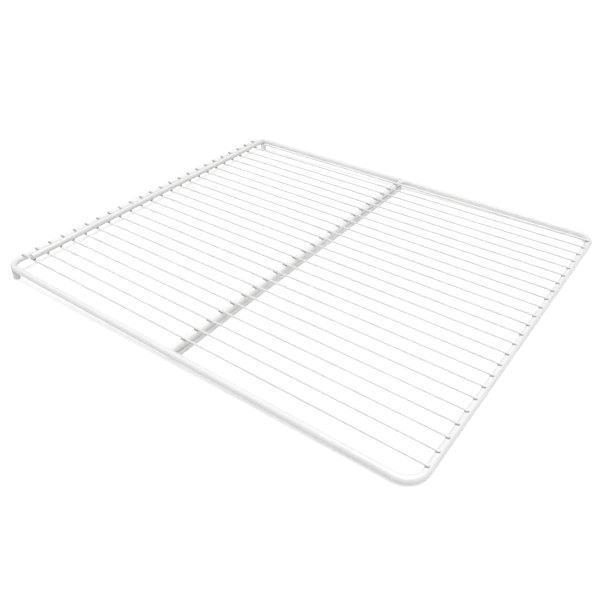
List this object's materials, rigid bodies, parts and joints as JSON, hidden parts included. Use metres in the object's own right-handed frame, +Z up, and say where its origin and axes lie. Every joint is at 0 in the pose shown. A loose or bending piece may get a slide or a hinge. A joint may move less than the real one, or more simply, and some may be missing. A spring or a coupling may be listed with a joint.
{
  "type": "refrigerator wire shelf",
  "caption": "Coated steel wire shelf with a bent rod frame, a center bar, a rear stop bar and short back pegs, for a refrigerator cabinet.",
  "frame": {"origin": "on the floor under the pegs, below the middle of the shelf's outline", "axes": "+Z up through the deck, front edge towards -Y, wires run along Y, bars run along X"},
  "size_m": [0.533, 0.61, 0.0322],
  "materials": {
    "white_coating": "gloss"
  },
  "bodies": {
    "root": {"frame_loop": "white_coating", "center_bar": "white_coating", "center_brace": "white_coating", "rear_stop_bar": "white_coating", "rear_peg_left": "white_coating", "rear_peg_right": "white_coating", "wire_01": "white_coating", "wire_02": "white_coating", "wire_03": "white_coating", "wire_04": "white_coating", "wire_05": "white_coating", "wire_06": "white_coating", "wire_07": "white_coating", "wire_08": "white_coating", "wire_09": "white_coating", "wire_10": "white_coating", "wire_11": "white_coating", "wire_12": "white_coating", "wire_13": "white_coating", "wire_14": "white_coating", "wire_15": "white_coating", "wire_16": "white_coating", "wire_17": "white_coating", "wire_18": "white_coating", "wire_19": "white_coating", "wire_20": "white_coating", "wire_21": "white_coating", "wire_22": "white_coating", "wire_23": "white_coating", "wire_24": "white_coating"}
  },
  "joints": []
}
